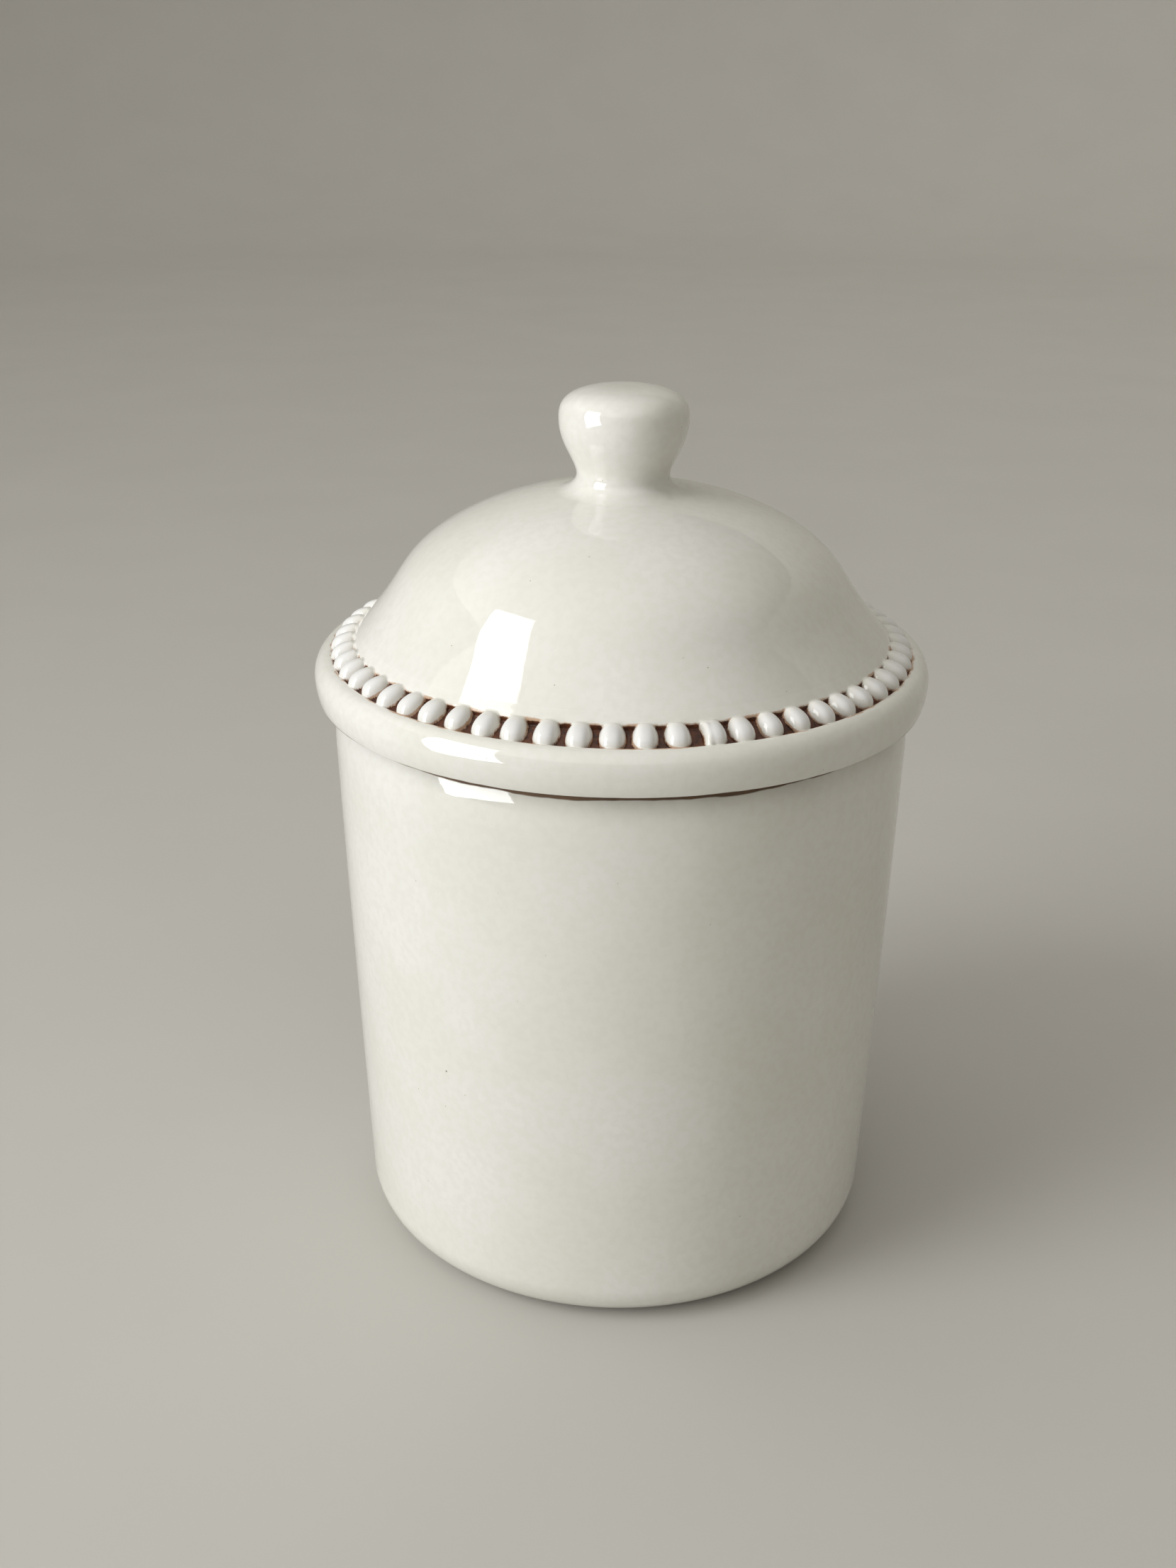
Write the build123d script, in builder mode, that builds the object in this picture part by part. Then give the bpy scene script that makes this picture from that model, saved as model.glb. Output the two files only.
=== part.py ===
from build123d import *
import math
import os

# Lidded storage jar of glazed earthenware. Millimetres, +Z up.
# The origin is the middle of the foot, on the surface the jar stands on.

# ---- jar -------------------------------------------------------------------
jar_height = 172.0          # the mouth's flat land, where the lid rests
foot_radius = 65.0          # outer edge of the flat foot
heel_radius = 79.1          # wall just above the rounded heel
heel_height = 13.5
shoulder_radius = 84.5      # wall just below the rounded shoulder
shoulder_height = 159.0
wall_bow = 0.3              # how far the wall bulges beyond a straight line
jar_wall = 6.2
floor_thickness = 7.0
inner_heel = 11.0           # rounding between the floor and the inner wall
land_outer = 81.0           # flat land on top of the mouth
land_inner = 79.4
lip_depth = 3.0             # the mouth's inner edge is rounded over this depth
foot_recess = 1.2           # the underside is hollowed, which leaves a foot ring
foot_ring_width = 9.0

# ---- lid, with heights measured from the plane it rests on -----------------------
lid_radius = 89.6           # outside of the rolled rim
roll_waist = 6.7            # height of the roll's widest line
roll_lower_half = 9.8       # half height of the ellipse below the waist, cut off at the edge
roll_edge_height = 0.7      # the roll's sharp lower edge hangs clear of the jar
seat_radius = 82.3          # the lid touches the jar inside this radius
channel_outer = 84.8        # where the rolled rim drops into the bead channel
channel_outer_height = 12.5
channel_depth = 1.25
channel_inner = 78.0        # where the dome rises out of the bead channel
channel_inner_height = 16.3
dome_side_radius = 67.4     # middle of the dome's nearly straight side
dome_side_height = 30.0
dome_brow_radius = 61.1     # start of the dome's tight brow
dome_brow_height = 39.0
dome_turn_radius = 54.2     # end of the brow
dome_turn_height = 45.1
dome_shallow_radius = 41.0  # start of the dome's shallow top
dome_shallow_height = 52.2
dome_height = 59.6          # on the axis
dome_foot_slope = (-1, 1.2)
lid_wall = 5.2
flange_gap = 1.4            # between the locating flange and the mouth
flange_depth = 9.0
flange_wall = 4.6
flange_round = 1.6

# ---- knob, with heights measured from the same plane -----------------------------
knob_foot_radius = 19.5     # where the flared foot meets the dome
knob_foot_height = 58.7
knob_bed_height = 57.5      # the foot starts inside the dome, which trims it
neck_radius = 13.4
neck_height = 63.0
throat_radius = 14.3        # where the neck turns outwards
throat_height = 66.2
cheek_radius = 17.1
cheek_height = 72.0
belt_radius = 18.5          # the widest line of the ball
belt_height = 78.6
crown_power = 2.8           # of the squared-off ellipse over the belt; 2 would be a plain one
knob_height = 87.6

# ---- bead border -----------------------------------------------------------------
bead_count = 60
first_bead = 3.5            # degrees from +X
bead_half_width = 3.5
bead_half_length = 4.5
bead_half_thickness = 2.7
bead_sink = 0.9             # the bead's middle below the line across the channel

os.makedirs("parts", exist_ok=True)


def lid_point(radius, height):
    """A point of the lid's outline, from a height above the plane it rests on."""
    return (radius, jar_height + height)


def bowed(start, end, bow):
    """The point that a nearly straight arc passes through, bow off its chord."""
    length = math.dist(start, end)
    across = (end[1] - start[1], start[0] - end[0])
    middle = [(a + b) / 2 for a, b in zip(start, end)]
    return tuple(m + bow * n / length for m, n in zip(middle, across))


# ---- jar body: foot ring, rounded heel, bowed wall, rounded shoulder, open mouth ---
mouth_radius = shoulder_radius - jar_wall
heel = (heel_radius, heel_height)
shoulder = (shoulder_radius, shoulder_height)
mouth = (mouth_radius, jar_height - lip_depth)
inner_wall_foot = (heel_radius - jar_wall, floor_thickness + inner_heel)

with BuildPart() as jar_body:
    with BuildSketch(Plane.XZ):
        with BuildLine():
            Polyline(
                (0, floor_thickness),
                (0, foot_recess),
                (foot_radius - foot_ring_width - foot_recess, foot_recess),
                (foot_radius - foot_ring_width, 0),
                (foot_radius, 0),
            )
            EllipticalCenterArc(
                (foot_radius, heel_height),
                heel_radius - foot_radius,
                heel_height,
                start_angle=270,
                arc_size=90,
            )
            ThreePointArc(heel, bowed(heel, shoulder, wall_bow), shoulder)
            EllipticalCenterArc(
                (land_outer, shoulder_height),
                shoulder_radius - land_outer,
                jar_height - shoulder_height,
                start_angle=0,
                arc_size=90,
            )
            Line((land_outer, jar_height), (land_inner, jar_height))
            EllipticalCenterArc(
                (land_inner, mouth[1]),
                land_inner - mouth_radius,
                lip_depth,
                start_angle=90,
                arc_size=90,
            )
            ThreePointArc(mouth, bowed(mouth, inner_wall_foot, -wall_bow), inner_wall_foot)
            inner_corner = CenterArc(
                (inner_wall_foot[0] - inner_heel, inner_wall_foot[1]), inner_heel, 0, -90
            )
            Line(inner_corner @ 1, (0, floor_thickness))
        make_face()
    revolve(axis=Axis.Z)
jar_body.part.label = "jar_body"
export_step(jar_body.part, "parts/jar_body.step")

# ---- lid shell: rolled rim, bead channel, hollow dome, locating flange --------------
flange_outer = mouth_radius - flange_gap
flange_inner = flange_outer - flange_wall
roll_half_width = lid_radius - channel_outer
roll_edge_angle = math.degrees(math.asin((roll_waist - roll_edge_height) / roll_lower_half))
roll_edge = channel_outer + roll_half_width * math.cos(math.radians(roll_edge_angle))
dome_points = [
    lid_point(channel_inner, channel_inner_height),
    lid_point(dome_side_radius, dome_side_height),
    lid_point(dome_brow_radius, dome_brow_height),
    lid_point(dome_turn_radius, dome_turn_height),
    lid_point(dome_shallow_radius, dome_shallow_height),
    lid_point(0, dome_height),
]
dome_foot = dome_points[0]
dome_ends = [dome_foot_slope, (-1, 0)]
channel_lip = lid_point(channel_outer, channel_outer_height)
channel_floor = bowed(dome_foot, channel_lip, channel_depth)
flange_end = jar_height - flange_depth

with BuildLine() as dome_line:
    dome = Spline(*dome_points, tangents=dome_ends)


def inside_dome(along):
    """A point of the hollow side, one wall thickness in from the dome's outline."""
    slope = dome % along
    return dome @ along + Vector(-slope.Y, slope.X) * lid_wall


inside_points = [inside_dome(step / 4) for step in range(4)] + [lid_point(0, dome_height - lid_wall)]

with BuildPart() as lid_shell:
    with BuildSketch(Plane.XZ):
        with BuildLine():
            add(dome_line.line)
            ThreePointArc(dome_foot, channel_floor, channel_lip)
            EllipticalCenterArc(
                lid_point(channel_outer, roll_waist),
                roll_half_width,
                channel_outer_height - roll_waist,
                start_angle=0,
                arc_size=90,
            )
            EllipticalCenterArc(
                lid_point(channel_outer, roll_waist),
                roll_half_width,
                roll_lower_half,
                start_angle=-roll_edge_angle,
                arc_size=roll_edge_angle,
            )
            Polyline(
                lid_point(roll_edge, roll_edge_height),
                lid_point(seat_radius, roll_edge_height),
                (seat_radius, jar_height),
                (flange_outer, jar_height),
                (flange_outer, flange_end + flange_round),
            )
            CenterArc(
                (flange_outer - flange_round, flange_end + flange_round), flange_round, 0, -90
            )
            Line((flange_outer - flange_round, flange_end), (flange_inner + flange_round, flange_end))
            CenterArc(
                (flange_inner + flange_round, flange_end + flange_round), flange_round, 270, -90
            )
            Line((flange_inner, flange_end + flange_round), (flange_inner, jar_height))
            Spline((flange_inner, jar_height), inside_points[0], tangents=[(0, 1), dome_foot_slope])
            Spline(*inside_points, tangents=dome_ends)
            Line(inside_points[-1], dome_points[-1])
        make_face()
    revolve(axis=Axis.Z)
lid_shell.part.label = "lid_shell"
export_step(lid_shell.part, "parts/lid_shell.step")

# ---- knob: flared foot bedded on the dome, waisted neck, flattened ball ---------------
def crown_point(angle):
    """A point of the crown's squared-off ellipse. 0 degrees is the belt and 90 the axis."""
    across = math.cos(math.radians(angle)) ** (2 / crown_power)
    up = math.sin(math.radians(angle)) ** (2 / crown_power)
    return lid_point(belt_radius * across, belt_height + (knob_height - belt_height) * up)


with BuildPart() as lid_knob:
    with BuildSketch(Plane.XZ):
        with BuildLine():
            EllipticalCenterArc(
                lid_point(knob_foot_radius, neck_height),
                knob_foot_radius - neck_radius,
                neck_height - knob_foot_height,
                start_angle=180,
                arc_size=90,
            )
            Spline(
                lid_point(neck_radius, neck_height),
                lid_point(throat_radius, throat_height),
                lid_point(cheek_radius, cheek_height),
                lid_point(belt_radius, belt_height),
                tangents=[(0, 1), (0, 1)],
            )
            Spline(
                lid_point(belt_radius, belt_height),
                crown_point(25),
                crown_point(45),
                crown_point(65),
                lid_point(0, knob_height),
                tangents=[(0, 1), (-1, 0)],
            )
            Polyline(
                lid_point(0, knob_height),
                lid_point(0, knob_bed_height),
                lid_point(knob_foot_radius, knob_bed_height),
                lid_point(knob_foot_radius, knob_foot_height),
            )
        make_face()
    revolve(axis=Axis.Z)
    add(lid_shell.part, mode=Mode.SUBTRACT)
lid_knob.part.label = "lid_knob"
export_step(lid_knob.part, "parts/lid_knob.step")

# ---- bead border: egg-shaped beads bedded in the channel ------------------------------
channel_slope = math.degrees(
    math.atan2(channel_inner_height - channel_outer_height, channel_outer - channel_inner)
)
channel_middle = (
    (channel_inner + channel_outer) / 2,
    0,
    jar_height + (channel_inner_height + channel_outer_height) / 2,
)

with BuildPart() as one_bead:
    Sphere(1)
    scale(by=(bead_half_length, bead_half_width, bead_half_thickness))
bead_plane = Plane(channel_middle).rotated((0, channel_slope, 0))
bead_place = bead_plane.offset(-bead_sink).location

with BuildPart() as bedded_bead:
    with Locations(bead_place):
        add(one_bead.part)
    add(lid_shell.part, mode=Mode.SUBTRACT)

with BuildPart() as bead_border:
    with PolarLocations(0, bead_count, start_angle=first_bead):
        add(bedded_bead.part)
bead_border.part.label = "bead_border"
export_step(bead_border.part, "parts/bead_border.step")

for piece in (jar_body, lid_shell, lid_knob, bead_border):
    box = piece.part.bounding_box()
    print(piece.part.label, len(piece.part.solids()), round(piece.part.volume / 1000, 2), box)
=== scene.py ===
"""A glazed lidded storage jar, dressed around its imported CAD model.

Outlines are in millimetres, as (radius, height) points, and meshes are made in metres.
"""
import math

import bpy
import numpy as np
from mathutils import Matrix, Vector


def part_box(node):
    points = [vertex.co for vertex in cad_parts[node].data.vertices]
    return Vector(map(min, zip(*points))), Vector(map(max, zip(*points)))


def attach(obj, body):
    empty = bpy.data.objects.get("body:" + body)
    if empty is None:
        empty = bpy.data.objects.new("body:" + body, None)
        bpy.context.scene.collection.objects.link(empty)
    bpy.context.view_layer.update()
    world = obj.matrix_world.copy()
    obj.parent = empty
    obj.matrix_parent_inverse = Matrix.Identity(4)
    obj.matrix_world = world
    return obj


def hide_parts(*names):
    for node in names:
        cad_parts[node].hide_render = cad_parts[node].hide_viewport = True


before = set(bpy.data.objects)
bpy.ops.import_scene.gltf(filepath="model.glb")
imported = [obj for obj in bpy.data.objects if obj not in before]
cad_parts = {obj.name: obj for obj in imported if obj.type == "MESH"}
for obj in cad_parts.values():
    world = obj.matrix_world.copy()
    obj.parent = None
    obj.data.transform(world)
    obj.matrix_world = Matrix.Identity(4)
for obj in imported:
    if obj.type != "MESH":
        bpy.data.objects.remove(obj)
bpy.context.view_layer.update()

MM = 0.001
UP = (0.0, 1.0)

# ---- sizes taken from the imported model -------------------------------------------
JAR_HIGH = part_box("jar_body")[1]
LID_LOW, LID_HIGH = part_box("lid_shell")
KNOB_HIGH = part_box("lid_knob")[1]
JAR_TOP = JAR_HIGH.z / MM                 # the plane the lid rests on
SHOULDER_R = JAR_HIGH.x / MM
LID_R = LID_HIGH.x / MM
DOME_TOP = LID_HIGH.z / MM
FLANGE_END = LID_LOW.z / MM
KNOB_TOP = KNOB_HIGH.z / MM
KNOB_FOOT_R = KNOB_HIGH.x / MM

# ---- shape of the jar ----------------------------------------------------------------
HEEL_R, HEEL_Z = SHOULDER_R - 5.4, 13.5
FOOT_R = HEEL_R - 14.1
FOOT_RING = 9.0
FOOT_RECESS = 1.2
FOOT_ROUND = 0.6
SHOULDER_Z = JAR_TOP - 13.0
LAND_OUTER, LAND_INNER = SHOULDER_R - 3.5, SHOULDER_R - 5.1
WALL = 6.2
WALL_BOW = 0.3
FLOOR = 7.0
INNER_HEEL = 11.0
LIP_DEPTH = 3.0
MOUTH_R = SHOULDER_R - WALL

# ---- shape of the lid, with heights above the plane it rests on -----------------------
ROLL_WAIST = 6.7
ROLL_DROP = 9.8         # half height of the ellipse below the waist, cut off at the lower edge
ROLL_EDGE = (LID_R - 1.0, 0.7)
ROLL_EDGE_ROUND = 0.4
SEAT_R = 82.3           # the lid touches the jar inside this radius and clears it outside
CHANNEL_OUTER = (LID_R - 4.8, 12.5)
CHANNEL_INNER = (LID_R - 11.6, 16.3)
DOME_POINTS = [CHANNEL_INNER, (67.4, 30.0), (61.1, 39.0), (54.2, 45.1), (41.0, 52.2)]
DOME_POINTS.append((0.0, DOME_TOP - JAR_TOP))
DOME_FOOT_SLOPE = (-1.0, 1.2)
LID_WALL = 5.2
FLANGE_OUTER = MOUTH_R - 1.4
FLANGE_WALL = 4.6
FLANGE_ROUND = 1.6

# ---- shape of the knob, with heights above the same plane ------------------------------
NECK = (13.4, 63.0)
THROAT = (14.3, 66.2)
CHEEK = (17.1, 72.0)
BELT = (18.5, 78.6)
CROWN_POWER = 2.8

# ---- bead border -------------------------------------------------------------------------
BEADS = 60
PITCH = 2 * math.pi / BEADS
FIRST_BEAD = math.radians(3.5)
COLUMNS_PER_BEAD = 27
CROWDING = 0.4          # how much closer the mesh's columns stand in the gaps between beads
BAND_ROWS = 56
BAND_PLACES = (-3.4, -1.2, 1.4, 6.0, 8.4, 9.1)      # places across the channel, and the share
BAND_SHARES = (0.0, 0.1, 0.33, 0.62, 0.92, 1.0)     # of the mesh's rows spent before each
RECESS = 1.8            # depth of the channel between the beads
BEAD_WIDE = 3.52        # half width of a bead
BEAD_MIDDLE = 3.9       # where across the channel it is widest
BEAD_END = 8.1          # where its blunt end meets the rolled rim
BEAD_END_DRIFT = 0.12   # the beads end that much further out at LONG_SIDE, and less opposite
LONG_SIDE = math.radians(205)
BEAD_START = -0.9       # where it would end if it did not run into the dome's foot
BEAD_NECK = 0.6         # and what is left of its width there
START_POWER = 2.3       # how blunt that end is, and the other one; 2 is an ellipse
END_POWER = 2.3
BEAD_CREST = 1.85       # the bead's top above the line across the channel
CREST_AT = 4.3          # where across the channel the bead is tallest
CREST_FALL = 1.0        # how much lower its ridge is at the dome
GLAZE_FILL = 0.4        # how widely the glaze fills the crease round a bead
NECK_FILL = 1.1         # and how much more widely at the dome, where the bead runs into it
NECK_FALL = 1.6         # and how much further it falls past the channel's edge
FLANK_POWER = 2.6       # how flat a bead's or the seam's top is across
FLANK_ROUND = 0.6       # and how steeply its flanks meet the channel; 0.5 is square on
SEAM_ANGLE = math.radians(284.7)        # the mould's joint, a ridge that leans on one bead
SEAM_CREST = 1.3
SEAM_FALL = 1.5                         # how far it falls past the channel's edge at the dome
SEAM_WIDE = 1.2
SEAM_BEAD = 47                          # that bead, narrower and a little further round
SEAM_BEAD_SHARE = 0.9
SEAM_BEAD_NUDGE = math.radians(0.7)
SEAM_BLEND = 1.5        # how widely the glaze fills the crease between ridge and bead
BED_DEPTH = 0.9         # the lid's own surface under the border, below the channel floor
STAIN_CLIMB = 0.18      # how far the stain runs up a bead's foot
STAIN_TOP = -0.15       # and the height over the line across the channel that it never passes
SHEDDING = 3.0          # how much narrower the stain's fringe is on a bead than beside the channel
SEED = 17

# ---- surface -------------------------------------------------------------------------------
JAR_SWAY = 0.3          # how far a wall wanders inside its true circle
LID_SWAY = 0.16
KNOB_SWAY = 0.12

GLAZE_IOR = 1.7
BEAD_IOR = 1.5
GLAZE_ROUGH = 0.045
CLAY_ROUGH = 0.795
CLAY_WANDER = 0.3       # how far the glaze's edge wanders up and down
CLAY_EDGE = 0.2         # and half the width over which glaze gives way to clay
STAIN_ROUGH = 0.4

# ---- light and camera, in metres ------------------------------------------------------------
WINDOW_SPREAD = math.radians(145)       # a little under a full half round keeps the floor near it dim
ROOM_BRIGHTEST = Vector((-0.5, -0.33, 0.8))
ROOM_COLOUR = (1.0, 0.97, 0.905, 1.0)
DAY_COLOUR = (0.985, 0.995, 1.0)
CAMERA_PLACE = Vector((-0.00955, -0.50711, 0.35146))
CAMERA_PITCH = math.radians(22.68)
CAMERA_ROLL = math.radians(-0.3)
CAMERA_LENS = 41.6


# ---- outlines ---------------------------------------------------------------------------------
def ellipse(centre, across, up, start, end, steps, power=2.0):
    """Points on an ellipse from one angle in degrees to another. Above 2, power squares it off."""
    angles = np.radians(np.linspace(start, end, steps))
    x, y = np.cos(angles), np.sin(angles)
    x, y = (np.sign(t) * np.abs(t) ** (2 / power) for t in (x, y))
    return np.stack([centre[0] + across * x, centre[1] + up * y], 1)


def bowed(start, end, bow, steps):
    """A nearly straight run that bulges by bow to the right of its direction."""
    start, end = np.array(start, float), np.array(end, float)
    along = np.linspace(0, 1, steps)[:, None]
    chord = end - start
    side = np.array([chord[1], -chord[0]]) / np.hypot(*chord)
    return start + chord * along + side * bow * 4 * along * (1 - along)


def spline(points, start_slope, end_slope, steps):
    """A cubic spline through points, with its end directions given."""
    points = np.array(points, float)
    knots = np.r_[0, np.cumsum(np.hypot(*np.diff(points, axis=0).T))]
    gaps = np.diff(knots)
    count = len(points)
    system, right = np.zeros((count, count)), np.zeros((count, 2))
    system[0, 0] = system[-1, -1] = 1
    right[0] = np.array(start_slope, float) / np.hypot(*start_slope)
    right[-1] = np.array(end_slope, float) / np.hypot(*end_slope)
    for i in range(1, count - 1):
        before, after = gaps[i - 1], gaps[i]
        system[i, i - 1 : i + 2] = after, 2 * (before + after), before
        rise = (points[i] - points[i - 1]) * after / before + (points[i + 1] - points[i]) * before / after
        right[i] = 3 * rise
    slopes = np.linalg.solve(system, right)
    at = np.linspace(0, knots[-1], steps)
    piece = np.clip(np.searchsorted(knots, at) - 1, 0, count - 2)
    gap = gaps[piece][:, None]
    t = ((at - knots[piece]) / gaps[piece])[:, None]
    return (
        points[piece] * (1 + 2 * t) * (1 - t) ** 2
        + slopes[piece] * gap * t * (1 - t) ** 2
        + points[piece + 1] * t**2 * (3 - 2 * t)
        + slopes[piece + 1] * gap * t**2 * (t - 1)
    )


def join(*runs):
    """Runs of points end to end, without doubled points."""
    points = np.concatenate([np.asarray(run, float) for run in runs])
    keep = np.r_[True, np.hypot(*np.diff(points, axis=0).T) > 1e-6]
    return points[keep]


def rounded(points, reach_limit, steps=6):
    """A polyline whose inner corners are rounded from about that far along each side."""
    points = [np.array(p, float) for p in points]
    out = [points[0][None]]
    for before, corner, after in zip(points, points[1:], points[2:]):
        into, away = before - corner, after - corner
        reach = min(reach_limit, 0.45 * np.hypot(*into), 0.45 * np.hypot(*away))
        a = corner + into / np.hypot(*into) * reach
        b = corner + away / np.hypot(*away) * reach
        t = np.linspace(0, 1, steps)[:, None]
        out.append(a * (1 - t) ** 2 + corner * 2 * t * (1 - t) + b * t**2)
    out.append(points[-1][None])
    return join(*out)


def lifted(points):
    """Lid heights turned into heights above the floor."""
    return np.asarray(points, float) + np.array([0.0, JAR_TOP])


def jar_outline():
    """From the middle of the underside, up the outside, over the mouth and down inside."""
    recess_edge = FOOT_R - FOOT_RING
    under = rounded(
        [(0, FOOT_RECESS), (recess_edge - FOOT_RECESS, FOOT_RECESS), (recess_edge, 0), (FOOT_R, 0)],
        FOOT_ROUND,
    )
    heel = ellipse((FOOT_R, HEEL_Z), HEEL_R - FOOT_R, HEEL_Z, 270, 360, 26)
    wall = bowed((HEEL_R, HEEL_Z), (SHOULDER_R, SHOULDER_Z), WALL_BOW, 60)
    shoulder = ellipse(
        (LAND_OUTER, SHOULDER_Z), SHOULDER_R - LAND_OUTER, JAR_TOP - SHOULDER_Z, 0, 90, 26
    )
    lip = ellipse((LAND_INNER, JAR_TOP - LIP_DEPTH), LAND_INNER - MOUTH_R, LIP_DEPTH, 90, 180, 10)
    inner_foot = (HEEL_R - WALL, FLOOR + INNER_HEEL)
    inside = bowed((MOUTH_R, JAR_TOP - LIP_DEPTH), inner_foot, -WALL_BOW, 40)
    heel_inside = ellipse((inner_foot[0] - INNER_HEEL, inner_foot[1]), INNER_HEEL, INNER_HEEL, 0, -90, 16)
    return join(under, heel, wall, shoulder, lip, inside, heel_inside, [(0, FLOOR)])


DOME = spline(DOME_POINTS, DOME_FOOT_SLOPE, (-1, 0), 90)
DOME_FOOT = spline(DOME_POINTS, DOME_FOOT_SLOPE, (-1, 0), 900)[:100]    # finer, for the bead border

# ---- the bead border's own frame: v runs across the channel, h stands square to it --------------
CHANNEL_A, CHANNEL_B = np.array(CHANNEL_INNER), np.array(CHANNEL_OUTER)
CHANNEL_WIDE = float(np.hypot(*(CHANNEL_B - CHANNEL_A)))
ACROSS = (CHANNEL_B - CHANNEL_A) / CHANNEL_WIDE
OUTWARD = np.array([-ACROSS[1], ACROSS[0]])
ROLL_TOP = ellipse(
    (CHANNEL_OUTER[0], ROLL_WAIST), LID_R - CHANNEL_OUTER[0], CHANNEL_OUTER[1] - ROLL_WAIST, 90, 0, 80
)


def channel_frame(points):
    """Outline points as (v, h) in the bead border's frame."""
    away = np.asarray(points, float) - CHANNEL_A
    return np.stack([away @ ACROSS, away @ OUTWARD], 1)


def ease(low, high, x):
    """0 below low, 1 above high, smooth between. low may be above high."""
    t = np.clip((x - low) / (high - low), 0, 1)
    return t * t * (3 - 2 * t)


def soft_max(a, b, blend):
    """The larger of a and b, with the crease filled as a glaze fills it."""
    share = np.clip(0.5 + 0.5 * (a - b) / blend, 0, 1)
    return b * (1 - share) + a * share + blend * share * (1 - share)


def lid_surface(v):
    """Height of dome, empty channel and roll over the line across the channel."""
    dome_v, dome_h = channel_frame(DOME_FOOT)[::-1].T
    roll_v, roll_h = channel_frame(ROLL_TOP[:40]).T
    channel = -RECESS * ease(0.0, 0.9, v) * ease(CHANNEL_WIDE, CHANNEL_WIDE - 1.0, v)
    h = np.where(v < 0, np.interp(v, dome_v, dome_h), channel)
    return np.where(v > CHANNEL_WIDE, np.interp(v, roll_v, roll_h), h)


BAND_IN, BAND_OUT = BAND_PLACES[0], BAND_PLACES[-1]
BAND_EDGES = CHANNEL_A + np.outer([BAND_IN, BAND_OUT], ACROSS) + np.outer(
    lid_surface(np.array([BAND_IN, BAND_OUT])), OUTWARD
)
BAND_BED = CHANNEL_A + np.outer([BAND_IN, BAND_OUT], ACROSS) - OUTWARD * (RECESS + BED_DEPTH)


def lid_outline():
    """The lid shell's outline in three runs: dome, bed of the bead border, and all the rest."""
    dome_v = channel_frame(DOME)[:, 0]
    roll_v = channel_frame(ROLL_TOP)[:, 0]
    edge_angle = math.degrees(math.asin((ROLL_WAIST - ROLL_EDGE[1] - 0.3) / ROLL_DROP))
    roll_low = ellipse(
        (CHANNEL_OUTER[0], ROLL_WAIST), LID_R - CHANNEL_OUTER[0], ROLL_DROP, 0, -edge_angle, 20
    )
    edge = rounded([roll_low[-1], ROLL_EDGE, (SEAT_R, ROLL_EDGE[1]), (SEAT_R - 0.2, 0)], ROLL_EDGE_ROUND)
    flange_inner = FLANGE_OUTER - FLANGE_WALL
    flange_z = FLANGE_END - JAR_TOP
    flange = rounded(
        [
            (SEAT_R - 0.6, 0),
            (FLANGE_OUTER, 0),
            (FLANGE_OUTER, flange_z),
            (flange_inner, flange_z),
            (flange_inner, 0),
        ],
        FLANGE_ROUND,
    )
    slopes = np.gradient(DOME, axis=0)
    slopes /= np.hypot(*slopes.T)[:, None]
    hollow = DOME + np.stack([-slopes[:, 1], slopes[:, 0]], 1) * LID_WALL
    hollow[-1, 0] = 0
    throat = spline([(flange_inner, 0), hollow[0]], (0, 1), DOME_FOOT_SLOPE, 12)
    return [
        lifted(join(DOME[dome_v < BAND_IN][::-1], BAND_EDGES[:1])),
        lifted(BAND_BED),
        lifted(join(BAND_EDGES[1:], ROLL_TOP[roll_v > BAND_OUT], roll_low, edge, flange, throat, hollow)),
    ]


def knob_outline():
    """The knob's underside, then its outside from the edge of the flared foot to the crown."""
    foot_z = float(np.interp(KNOB_FOOT_R, DOME[::-1, 0], DOME[::-1, 1]))
    inside_z = float(np.interp(KNOB_FOOT_R - 1, DOME[::-1, 0], DOME[::-1, 1]))
    foot = spline([(KNOB_FOOT_R, foot_z), NECK], (-1, inside_z - foot_z), UP, 22)
    neck = spline([NECK, THROAT, CHEEK, BELT], UP, UP, 36)
    crown = ellipse((0, BELT[1]), BELT[0], KNOB_TOP - JAR_TOP - BELT[1], 0, 90, 60, CROWN_POWER)
    under = [(0, foot_z - 0.6), (KNOB_FOOT_R - 1.5, foot_z - 0.6)]
    return [lifted(under), lifted(join(foot, neck, crown))]


# ---- meshes ------------------------------------------------------------------------------------------
def handmade(radius, angle, height, amount):
    """Radii drawn in by a fraction of a millimetre here and there, as a cast pot's are."""
    sway = 0.5 + 0.28 * np.sin(2 * angle + 0.7) + 0.14 * np.sin(3 * angle - height * 0.021)
    sway += 0.08 * np.sin(5 * angle + height * 0.047)
    return radius - amount * sway * ease(0, 12, radius)


def facing(grid, sizes):
    """Unit normals of a grid of points whose rows form smooth runs of the given sizes."""
    across = np.roll(grid, -1, 1) - np.roll(grid, 1, 1)
    along = np.empty_like(grid)
    row = 0
    for size in sizes:
        run = grid[row : row + size]
        if size > 2:
            way = np.r_[0, np.cumsum(np.linalg.norm(np.diff(run[:, 0], axis=0), axis=-1))]
            along[row : row + size] = np.gradient(run, way, axis=0, edge_order=2)
        elif size == 2:
            along[row : row + size] = run[1] - run[0]
        else:
            along[row] = run[0] * (1, 1, 0)     # the rim of a flat disc that starts on the axis
        row += size
    normal = np.cross(along, across)
    return normal / np.linalg.norm(normal, axis=-1, keepdims=True)


def make_piece(name, points, normals, faces, body, replaced):
    """A smooth-shaded mesh object that rides on a body and stands for a CAD node."""
    mesh = bpy.data.meshes.new(name)
    mesh.from_pydata((points * MM).tolist(), [], faces)
    mesh.polygons.foreach_set("use_smooth", np.ones(len(mesh.polygons), bool))
    mesh.update()
    mesh.normals_split_custom_set_from_vertices(normals.tolist())
    piece = bpy.data.objects.new(name, mesh)
    bpy.context.scene.collection.objects.link(piece)
    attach(piece, body)
    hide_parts(replaced)
    return piece


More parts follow.
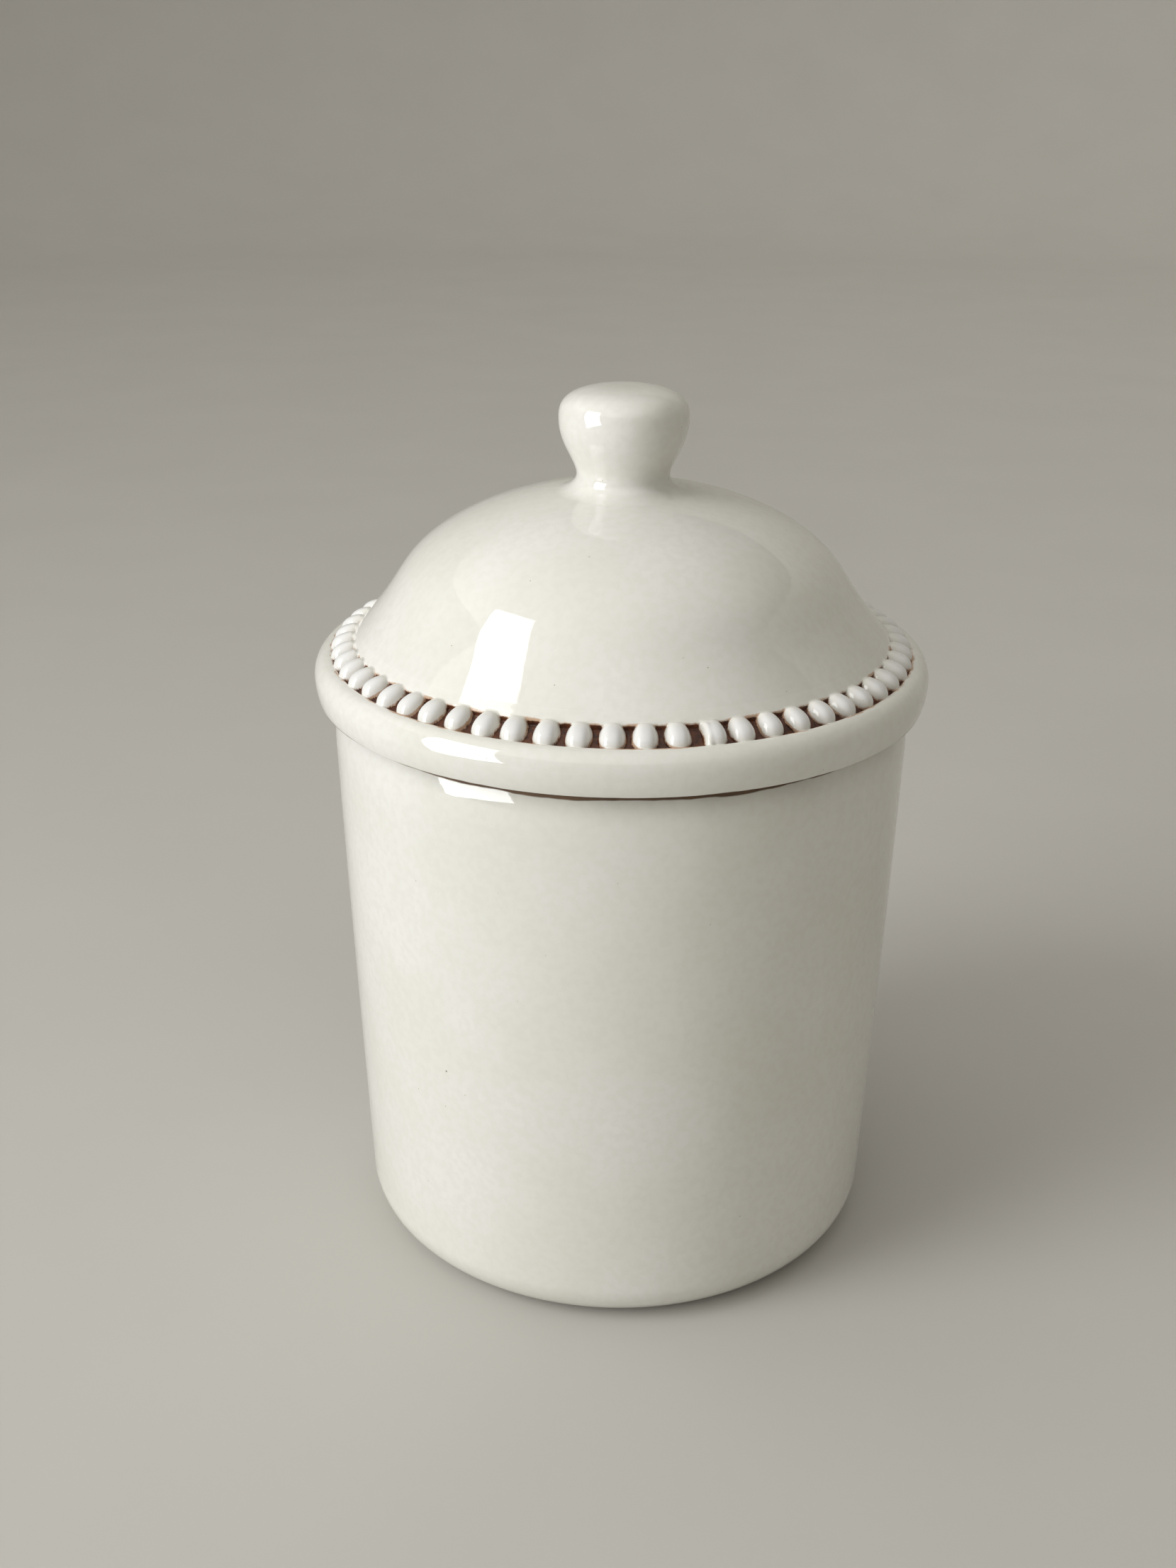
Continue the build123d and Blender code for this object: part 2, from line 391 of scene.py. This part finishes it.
def turn(name, runs, columns, sway, climbs, body, replaced):
    """Revolves an outline that starts and ends on the axis. climbs is 1 if it goes up outside."""
    outline = np.concatenate(runs)
    bottom, top = outline[0][1], outline[-1][1]
    outline = outline[1:-1]
    sizes = [len(run) for run in runs]
    sizes[0] -= 1
    sizes[-1] -= 1
    angles = np.linspace(0, 2 * math.pi, columns, endpoint=False)
    radius = handmade(outline[:, :1], angles[None], outline[:, 1:], sway)
    height = np.broadcast_to(outline[:, 1:], radius.shape)
    grid = np.stack([radius * np.cos(angles), radius * np.sin(angles), height], -1)
    normals = facing(grid, sizes) * -climbs
    rows = len(outline)
    first, last = rows * columns, rows * columns + 1
    faces = []
    for i in range(columns):
        j = (i + 1) % columns
        faces.append((first, j, i))
        faces.append((last, first - columns + i, first - columns + j))
        for row in range(rows - 1):
            a, b = row * columns, (row + 1) * columns
            faces.append((a + i, a + j, b + j, b + i))
    if climbs < 0:
        faces = [face[::-1] for face in faces]
    points = np.concatenate([grid.reshape(-1, 3), [[0, 0, bottom], [0, 0, top]]])
    normals = np.concatenate([normals.reshape(-1, 3), [[0, 0, -climbs], [0, 0, climbs]]])
    return make_piece(name, points, normals, faces, body, replaced)


def flank(side):
    """Height of a rounded ridge, from 1 on its middle line to 0 where side is 1 and beyond."""
    return np.clip(1 - side**FLANK_POWER, 0, 1) ** FLANK_ROUND


def bead_field(v, around, radius):
    """Height of the beads at rows v and angles around, and the distance to their outlines.

    The distance is in millimetres and negative inside a bead.
    """
    # Each bead is a little out of place, and a little off in width, height, lean and length.
    dice = np.random.default_rng(SEED)
    middles = FIRST_BEAD + np.arange(BEADS) * PITCH
    nudge = dice.normal(0, 0.13, BEADS) / radius.mean()
    wide = BEAD_WIDE * (1 + dice.normal(0, 0.02, BEADS))
    tall = BEAD_CREST + dice.normal(0, 0.06, BEADS)
    lean = dice.normal(0, 0.02, BEADS)
    reach = BEAD_END - BEAD_MIDDLE + dice.normal(0, 0.12, BEADS)
    reach += BEAD_END_DRIFT * np.cos(middles - LONG_SIDE)
    nudge[SEAM_BEAD] = SEAM_BEAD_NUDGE
    wide[SEAM_BEAD] *= SEAM_BEAD_SHARE
    which = np.round((around - FIRST_BEAD) / PITCH).astype(int) % BEADS
    turned = (around - middles[which] - nudge[which] + math.pi) % (2 * math.pi) - math.pi
    past = v[:, None] - BEAD_MIDDLE
    u = np.abs(radius[:, None] * turned[None] - lean[which] * past)
    span = np.where(past > 0, reach[which], BEAD_MIDDLE - BEAD_START)
    power = np.where(past > 0, END_POWER, START_POWER)
    end = np.clip(1 - (np.abs(past) / span) ** power, 1e-6, 1)
    narrow = np.maximum(end ** (1 / power), np.where(past > 0, 0.0, BEAD_NECK))
    side = u / (wide[which] * narrow)
    crest = tall[which] - CREST_FALL * np.clip((CREST_AT - v[:, None]) / CREST_AT, 0, 2) ** 2
    crest -= NECK_FALL * ease(0.4, -0.9, v)[:, None]
    rise = np.where(past > 0, end**0.5, 1.0) * flank(side)
    out = ((u / wide[which]) ** power + (np.abs(past) / span) ** power) ** (1 / power)
    return (crest + RECESS) * rise - RECESS, (out - 1) * (wide[which] + span) / 2


def mould_seam(v, around, radius):
    """Height of the ridge that the mould's joint left across the border, and distance from it."""
    turned = (around - SEAM_ANGLE + math.pi) % (2 * math.pi) - math.pi
    out = np.abs(radius[:, None] * turned[None]) / SEAM_WIDE
    crest = SEAM_CREST * ease(-0.5, 1.8, v) * ease(CHANNEL_WIDE + 0.8, CHANNEL_WIDE - 2.5, v)
    crest -= SEAM_FALL * ease(0.0, -1.2, v)
    ridge = (crest[:, None] + RECESS) * flank(out) - RECESS
    return ridge, (out - 1) * SEAM_WIDE


def bead_border():
    """The ring of beads with the channel floor they stand in, as one closed mesh."""
    # The columns crowd together in the gaps, where the beads' flanks are steep.
    columns = BEADS * COLUMNS_PER_BEAD
    beads_round = np.arange(columns) / COLUMNS_PER_BEAD
    crowded = CROWDING * np.sin(2 * math.pi * beads_round) / (2 * math.pi)
    around = FIRST_BEAD + (beads_round + crowded) * PITCH
    v = np.interp(np.linspace(0, 1, BAND_ROWS), BAND_SHARES, BAND_PLACES)
    line = lifted(CHANNEL_A + np.outer(v, ACROSS))
    ground = lid_surface(v)[:, None]
    beads, bead_gap = bead_field(v, around, line[:, 0])
    seam, seam_gap = mould_seam(v, around, line[:, 0])
    blend = GLAZE_FILL + NECK_FILL * ease(0.8, -0.4, v)[:, None]
    height = soft_max(ground, soft_max(beads, seam, SEAM_BLEND), blend)
    faded = ease(BAND_IN, BAND_IN + 1.2, v) * ease(BAND_OUT, BAND_OUT - 0.5, v)
    height = ground + (height - ground) * faded[:, None]
    # The stain keeps to the channel, and thins out faster on a bead than along the channel's edges.
    in_channel = np.minimum(v, CHANNEL_WIDE - 0.1 - v)[:, None]
    gap = np.minimum(bead_gap, seam_gap) + STAIN_CLIMB
    stain = np.minimum(np.where(gap < 0, SHEDDING * gap, gap), in_channel)
    stain = np.minimum(stain, STAIN_TOP - height)
    raised = ease(0.2, -1.8, bead_gap) * ease(-0.8, 3.4, v)[:, None]

    radius = line[:, :1] + height * OUTWARD[0]
    level = line[:, 1:] + height * OUTWARD[1]
    # The mesh closes underneath, just over the bed that the lid's own mesh leaves for it.
    bed = lifted(BAND_BED + OUTWARD * 0.1)[::-1, :, None] + np.zeros(columns)
    radius = np.concatenate([radius, bed[:, 0]])
    level = np.concatenate([level, bed[:, 1]])
    radius = handmade(radius, around[None], level, LID_SWAY)
    grid = np.stack([radius * np.cos(around), radius * np.sin(around), level], -1)
    rows = len(grid)
    row, column = np.meshgrid(np.arange(rows), np.arange(columns), indexing="ij")
    below, beside = (row + 1) % rows, (column + 1) % columns
    corners = [(row, column), (below, column), (below, beside), (row, beside)]
    faces = np.stack([at_row * columns + at_column for at_row, at_column in corners], -1)
    piece = make_piece(
        "bead_border_glazed",
        grid.reshape(-1, 3),
        facing(grid, [BAND_ROWS, 2]).reshape(-1, 3),
        faces.reshape(-1, 4).tolist(),
        "lid",
        "bead_border",
    )
    for name, field in (("stain_depth", stain), ("raised", raised)):
        values = np.concatenate([field, np.zeros((2, columns))]).astype(np.float32).ravel()
        piece.data.attributes.new(name, "FLOAT", "POINT").data.foreach_set("value", values)
    return piece


# ---- materials -----------------------------------------------------------------------------------
def rgb(red, green, blue):
    """A colour given in 0-255 display values, as the linear RGBA that Blender works in."""
    def linear(value):
        value /= 255
        return value / 12.92 if value <= 0.04045 else ((value + 0.055) / 1.055) ** 2.4
    return (linear(red), linear(green), linear(blue), 1.0)


class Nodes:
    """A material with a Principled shader, and short ways of adding nodes to it."""

    def __init__(self, name):
        self.material = bpy.data.materials.new(name)
        self.material.use_nodes = True
        self.tree = self.material.node_tree
        self.shader = self.tree.nodes["Principled BSDF"]

    def add(self, kind, inputs, **settings):
        """A node with some inputs set or linked and some settings changed."""
        node = self.tree.nodes.new(kind)
        for key, value in settings.items():
            setattr(node, key, value)
        for key, value in inputs.items():
            self.put(node.inputs[key], value)
        return node

    def put(self, socket, value):
        """Links the value to the socket if it is a socket itself, and sets it otherwise."""
        if isinstance(value, bpy.types.NodeSocket):
            self.tree.links.new(value, socket)
        else:
            socket.default_value = value

    def noise(self, scale, detail=3.0, rough=0.5):
        place = self.add("ShaderNodeTexCoord", {}).outputs["Object"]
        inputs = {"Vector": place, "Scale": scale, "Detail": detail, "Roughness": rough}
        return self.add("ShaderNodeTexNoise", inputs).outputs["Fac"]

    def ramp(self, value, low, high, start=0.0, end=1.0):
        """The value carried from low..high to start..end, with soft ends."""
        inputs = {"Value": value, 1: low, 2: high, 3: start, 4: end}
        node = self.add("ShaderNodeMapRange", inputs, interpolation_type="SMOOTHSTEP")
        return node.outputs["Result"]

    def mix(self, share, first, second):
        """The first colour turned into the second by a share of 0 to 1."""
        node = self.add("ShaderNodeMix", {}, data_type="RGBA")
        self.put(node.inputs["Factor"], share)
        self.put(node.inputs[6], first)
        self.put(node.inputs[7], second)
        return node.outputs[2]

    def times(self, first, second):
        return self.add("ShaderNodeMath", {0: first, 1: second}, operation="MULTIPLY").outputs[0]

    def plus(self, first, second):
        return self.add("ShaderNodeMath", {0: first, 1: second}, operation="ADD").outputs[0]

    def specks(self, scale, chance, size):
        """1 inside a few scattered round dots of that share of a cell, 0 elsewhere."""
        place = self.add("ShaderNodeTexCoord", {}).outputs["Object"]
        cells = self.add("ShaderNodeTexVoronoi", {"Vector": place, "Scale": scale})
        lot = self.add("ShaderNodeSeparateColor", {"Color": cells.outputs["Color"]})
        chosen = self.ramp(lot.outputs["Red"], 1 - chance, 1 - chance + 0.01)
        return self.times(chosen, self.ramp(cells.outputs["Distance"], size, size * 0.45))


PAPER_DARK = rgb(196, 194, 189)
PAPER_PALE = rgb(202, 200, 195)
GLAZE_PALE = rgb(233, 232, 227)
GLAZE_DEEP = rgb(228, 227, 219)
GLAZE_GRAIN = rgb(208, 204, 190)
SPECK = rgb(150, 140, 122)
SPECK_DARK = rgb(86, 78, 70)
CLAY_PALE = rgb(214, 196, 165)
CLAY_DARK = rgb(190, 168, 136)
# Dark browns for the jar's rim and the lid's seat: painted shade for the shadow in the gap under the lid's
# rolled rim.
RIM_SHADE_PALE = rgb(120, 92, 64)
RIM_SHADE_DARK = rgb(74, 54, 38)
BEAD_WHITE = rgb(232, 232, 231)
STAIN_DARK = rgb(54, 20, 4)
STAIN_MID = rgb(112, 60, 26)
STAIN_FRINGE = rgb(178, 132, 90)


def ivory(nodes):
    """The cream glaze's colour: pale, a little clouded, with a few pinholes."""
    clouds = nodes.ramp(nodes.noise(22, 4), 0.36, 0.66)
    colour = nodes.mix(clouds, GLAZE_DEEP, GLAZE_PALE)
    grain = nodes.ramp(nodes.noise(420, 2), 0.35, 0.7, 0.0, 0.16)
    colour = nodes.mix(grain, colour, GLAZE_GRAIN)
    colour = nodes.mix(nodes.times(nodes.specks(125, 0.8, 0.036), 0.6), colour, SPECK)
    return nodes.mix(nodes.times(nodes.specks(62, 0.35, 0.026), 0.85), colour, SPECK_DARK)


def glazed(nodes, colour):
    """Sets the shader up as a glassy glaze whose surface waves very slightly."""
    nodes.put(nodes.shader.inputs["Base Color"], colour)
    nodes.shader.inputs["Roughness"].default_value = GLAZE_ROUGH
    nodes.shader.inputs["IOR"].default_value = GLAZE_IOR
    wave = nodes.add("ShaderNodeBump", {"Height": nodes.noise(34, 2), "Strength": 0.5, "Distance": 0.0006})
    peel = {"Height": nodes.noise(260, 2), "Strength": 0.5, "Distance": 0.00003}
    peel["Normal"] = wave.outputs["Normal"]
    nodes.put(nodes.shader.inputs["Normal"], nodes.add("ShaderNodeBump", peel).outputs["Normal"])


def pot_glaze(name, unglazed_and_shade_bands):
    """Cream glaze that gives way to an unglazed colour between some heights.

    Each band is (low, high, beyond, dark colour, pale colour), in millimetres, and takes effect
    only beyond that radius. The bands at the jar's rim and the lid's seat use a dark brown that is
    painted shade for the gap under the lid's rolled rim.
    """
    nodes = Nodes(name)
    colour = ivory(nodes)
    glazed(nodes, colour)
    place = nodes.add("ShaderNodeTexCoord", {}).outputs["Object"]
    flat = nodes.add("ShaderNodeVectorMath", {0: place, 1: (1, 1, 0)}, operation="MULTIPLY")
    spoke = nodes.add("ShaderNodeVectorMath", {0: flat.outputs["Vector"]}, operation="LENGTH")
    radius = spoke.outputs["Value"]
    level = nodes.add("ShaderNodeSeparateXYZ", {"Vector": place}).outputs["Z"]
    wander = nodes.ramp(nodes.noise(55, 3), 0.3, 0.7, -CLAY_WANDER * MM, CLAY_WANDER * MM)
    height = nodes.plus(level, wander)
    soft = CLAY_EDGE * MM
    rough = GLAZE_ROUGH
    for low, high, beyond, dark, pale in unglazed_and_shade_bands:
        above = nodes.ramp(height, low * MM - soft, low * MM + soft)
        below = nodes.ramp(height, high * MM + soft, high * MM - soft)
        outside = nodes.ramp(radius, beyond * MM - soft, beyond * MM + soft)
        share = nodes.times(nodes.times(above, below), outside)
        # For the rim and seat bands this dark colour is painted shade.
        clay_and_shade = nodes.mix(nodes.noise(300, 4, 0.65), dark, pale)
        colour = nodes.mix(share, colour, clay_and_shade)
        rough = nodes.plus(rough, nodes.times(share, CLAY_ROUGH - GLAZE_ROUGH))
    nodes.put(nodes.shader.inputs["Base Color"], colour)
    nodes.put(nodes.shader.inputs["Roughness"], rough)
    return nodes.material


def bead_glaze():
    """Cream glaze that thins to a cooler white on the beads, with iron brown in the channel."""
    nodes = Nodes("bead_glaze")
    depth = nodes.add("ShaderNodeAttribute", {}, attribute_name="stain_depth").outputs["Fac"]
    raised = nodes.add("ShaderNodeAttribute", {}, attribute_name="raised").outputs["Fac"]
    wander = nodes.ramp(nodes.noise(430, 3, 0.6), 0.3, 0.7, -0.16, 0.16)
    depth = nodes.plus(depth, wander)
    brown = nodes.mix(nodes.ramp(nodes.noise(520, 5, 0.7), 0.35, 0.75), STAIN_DARK, STAIN_MID)
    colour = nodes.mix(nodes.times(raised, 0.9), ivory(nodes), BEAD_WHITE)
    patchy = nodes.ramp(nodes.noise(90, 2), 0.45, 0.7, 0.0, 0.5)
    fringe = nodes.ramp(nodes.plus(depth, patchy), -0.3, 0.15, 0.0, 0.75)
    colour = nodes.mix(fringe, colour, STAIN_FRINGE)
    stained = nodes.ramp(depth, -0.02, 0.22)
    colour = nodes.mix(stained, colour, brown)
    glazed(nodes, colour)
    nodes.shader.inputs["IOR"].default_value = BEAD_IOR
    nodes.shader.inputs["Specular IOR Level"].default_value = 0.55
    nodes.put(nodes.shader.inputs["Roughness"], nodes.ramp(stained, 0, 1, GLAZE_ROUGH, STAIN_ROUGH))
    return nodes.material


# ---- stage -------------------------------------------------------------------------------------------
def window(name, towards, away, low, high, wide, lean, radiance, colour):
    """An area light standing at a compass direction from the jar, turned to face it.

    Its edges run from low to high above the floor, and lean tips it sideways in its own plane.
    """
    angle = math.radians(towards)
    light = bpy.data.lights.new(name, "AREA")
    light.shape = "RECTANGLE"
    light.size, light.size_y = wide, high - low
    light.energy = radiance * math.pi * wide * (high - low)
    light.color = colour
    light.spread = WINDOW_SPREAD
    lamp = bpy.data.objects.new(name, light)
    bpy.context.scene.collection.objects.link(lamp)
    lamp.location = (away * math.sin(angle), away * math.cos(angle), (low + high) / 2)
    lamp.rotation_euler = (math.pi / 2, 0, math.pi - angle)
    lamp.rotation_euler.rotate_axis("Z", math.radians(lean))
    lamp.visible_camera = False
    return lamp


def studio():
    """A pale floor that curves up into a wall all round, as one surface."""
    flat, bend, wall = 2.6, 0.9, 1.6
    profile = [(0, 0), (0.4, 0), (1.2, 0), (flat, 0)]
    profile += [tuple(p) for p in ellipse((flat, bend), bend, bend, -90, 0, 20)[1:]]
    profile.append((flat + bend, bend + wall))
    columns = 96
    points, faces = [(0, 0, 0)], []
    for radius, height in profile[1:]:
        for i in range(columns):
            angle = 2 * math.pi * i / columns
            points.append((radius * math.cos(angle), radius * math.sin(angle), height))
    for i in range(columns):
        j = (i + 1) % columns
        faces.append((0, 1 + i, 1 + j))
        for row in range(len(profile) - 2):
            a, b = 1 + row * columns, 1 + (row + 1) * columns
            faces.append((a + i, b + i, b + j, a + j))
    mesh = bpy.data.meshes.new("studio")
    mesh.from_pydata(points, [], faces)
    mesh.polygons.foreach_set("use_smooth", np.ones(len(mesh.polygons), bool))
    floor = bpy.data.objects.new("studio", mesh)
    bpy.context.scene.collection.objects.link(floor)
    nodes = Nodes("studio_paper")
    paper = nodes.mix(nodes.noise(9, 3), PAPER_DARK, PAPER_PALE)
    nodes.put(nodes.shader.inputs["Base Color"], paper)
    nodes.shader.inputs["Roughness"].default_value = 0.75
    nodes.shader.inputs["Specular IOR Level"].default_value = 0.15
    floor.data.materials.append(nodes.material)
    return floor


def room_light():
    """Soft light from all round, brighter from above and from the window's side."""
    world = bpy.data.worlds.new("room")
    world.use_nodes = True
    tree = world.node_tree
    sky = tree.nodes["Background"]
    place = tree.nodes.new("ShaderNodeTexCoord")
    towards = tree.nodes.new("ShaderNodeVectorMath")
    towards.operation = "DOT_PRODUCT"
    towards.inputs[1].default_value = ROOM_BRIGHTEST
    ramp = tree.nodes.new("ShaderNodeMapRange")
    ramp.interpolation_type = "SMOOTHSTEP"
    for name, value in (("From Min", -0.1), ("From Max", 1.0), ("To Min", 0.03), ("To Max", 0.94)):
        ramp.inputs[name].default_value = value
    tree.links.new(place.outputs["Generated"], towards.inputs[0])
    tree.links.new(towards.outputs["Value"], ramp.inputs["Value"])
    tree.links.new(ramp.outputs["Result"], sky.inputs["Strength"])
    sky.inputs["Color"].default_value = ROOM_COLOUR
    return world


def photo_camera():
    """The camera at the angle the jar was photographed from."""
    scene = bpy.context.scene
    camera = bpy.data.objects.new("camera", bpy.data.cameras.new("camera"))
    scene.collection.objects.link(camera)
    scene.camera = camera
    camera.data.lens = CAMERA_LENS
    camera.data.sensor_width = 36
    camera.data.dof.use_dof = False
    camera.data.clip_start = 0.01
    forward = Vector((0, math.cos(CAMERA_PITCH), -math.sin(CAMERA_PITCH)))
    level = Vector((1, 0, 0))
    down = forward.cross(level)
    right = level * math.cos(CAMERA_ROLL) + down * math.sin(CAMERA_ROLL)
    up = level * math.sin(CAMERA_ROLL) - down * math.cos(CAMERA_ROLL)
    turn_to = Matrix((right, up, -forward)).transposed().to_4x4()
    camera.matrix_world = Matrix.Translation(CAMERA_PLACE) @ turn_to


# ---- the model ------------------------------------------------------------------------------------------
jar = turn("jar_glazed", [jar_outline()], 360, JAR_SWAY, 1, "jar", "jar_body")
lid = turn("lid_glazed", lid_outline(), 360, LID_SWAY, -1, "lid", "lid_shell")
knob = turn("knob_glazed", knob_outline(), 240, KNOB_SWAY, 1, "lid", "lid_knob")
beads = bead_border()

FOOT_BARE = (-1.0, 0.5, 0.0, CLAY_DARK, CLAY_PALE)
# The jar's rim and the lid's seat are left as unglazed clay. Its dark brown colour there is painted shade
# for the gap under the lid's rolled rim.
RIM_CLAY_AND_SHADE = (JAR_TOP - 2.6, JAR_TOP + 1.0, 0.0, RIM_SHADE_DARK, RIM_SHADE_PALE)
SEAT_CLAY_AND_SHADE = (JAR_TOP - 1.0, JAR_TOP + 0.75, FLANGE_OUTER - 1.0, RIM_SHADE_DARK, RIM_SHADE_PALE)
jar.data.materials.append(pot_glaze("jar_glaze", [FOOT_BARE, RIM_CLAY_AND_SHADE]))
lid.data.materials.append(pot_glaze("lid_glaze", [SEAT_CLAY_AND_SHADE]))
knob.data.materials.append(pot_glaze("knob_glaze", []))
beads.data.materials.append(bead_glaze())

day = window(
    "window",
    towards=-118.0,
    away=1.3,
    low=0.03,
    high=1.65,
    wide=0.68,
    lean=14.0,
    radiance=4.1,
    colour=DAY_COLOUR,
)
studio()
photo_camera()

scene = bpy.context.scene
scene.view_settings.view_transform = "Standard"
scene.world = room_light()
